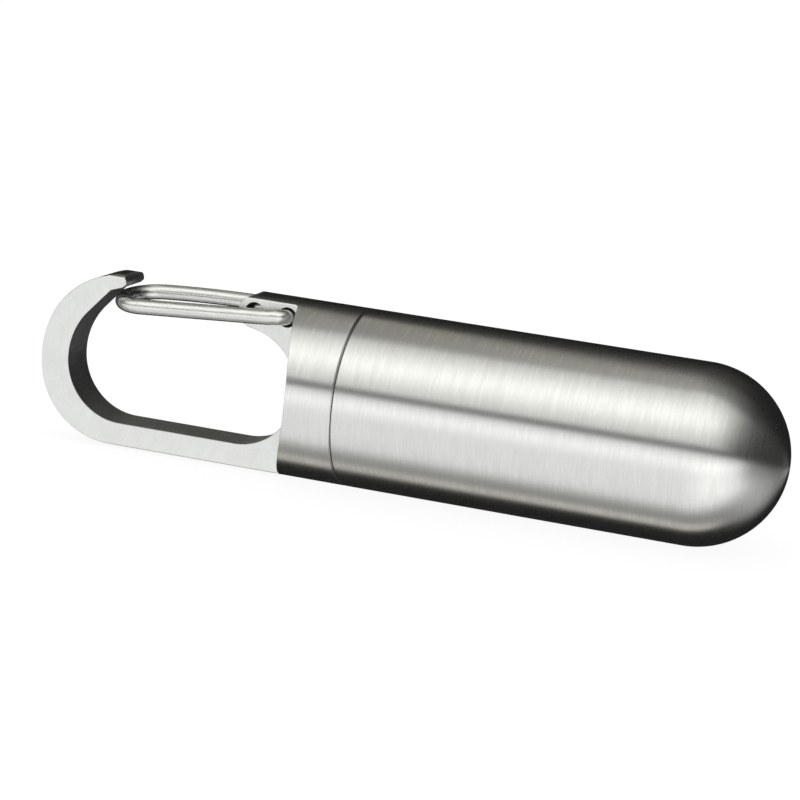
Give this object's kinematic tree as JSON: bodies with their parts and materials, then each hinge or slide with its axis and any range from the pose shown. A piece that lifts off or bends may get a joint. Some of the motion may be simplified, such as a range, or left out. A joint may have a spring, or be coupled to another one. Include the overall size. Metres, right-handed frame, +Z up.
{
  "type": "carabiner capsule container",
  "caption": "Small waterproof screw-top steel capsule whose cap is one piece with a flat snap hook closed by a bent spring-wire gate.",
  "frame": {"origin": "centre of the bounding box's bottom, on the surface that the capsule lies on; the screw axis is 11 mm above it", "axes": "+X along the screw axis from the hook to the dome, +Y square to the hook's flats, +Z up from the hook's spine to its gate"},
  "size_m": [0.0952, 0.022, 0.022],
  "materials": {
    "turned_steel": "turned and fine-brushed round the axis",
    "milled_steel": "turned and brushed outside, with matt face-milled flats",
    "spring_wire": "bright drawn wire, bent cold",
    "seal_rubber": "smooth black nitrile, lightly greased"
  },
  "bodies": {
    "capsule": {"capsule_body": "turned_steel"},
    "seal": {"neck_o_ring": "seal_rubber"},
    "head": {"carabiner_head": "milled_steel"},
    "gate": {"gate_wire": "spring_wire"}
  },
  "joints": [
    {"name": "cap_travel", "type": "slide", "parent": "capsule", "child": "seal", "axis": [-1, 0, 0], "range_m": [0, 0.0135]},
    {"name": "cap_turn", "type": "hinge", "parent": "seal", "child": "head", "pos_m": [-0.00575, 0, 0.011], "axis": [-1, 0, 0], "range_deg": [0, 3245]},
    {"name": "gate_hinge", "type": "hinge", "parent": "head", "child": "gate", "pos_m": [-0.01525, 0, 0.01995], "axis": [0, -1, 0], "range_deg": [0, 40], "stiffness_Nm_per_rad": 0.05, "springref_deg": -17.19}
  ],
  "couplings": [
    {"joint": "cap_turn", "follows": "cap_travel", "rad_per_m": 4188.8}
  ]
}
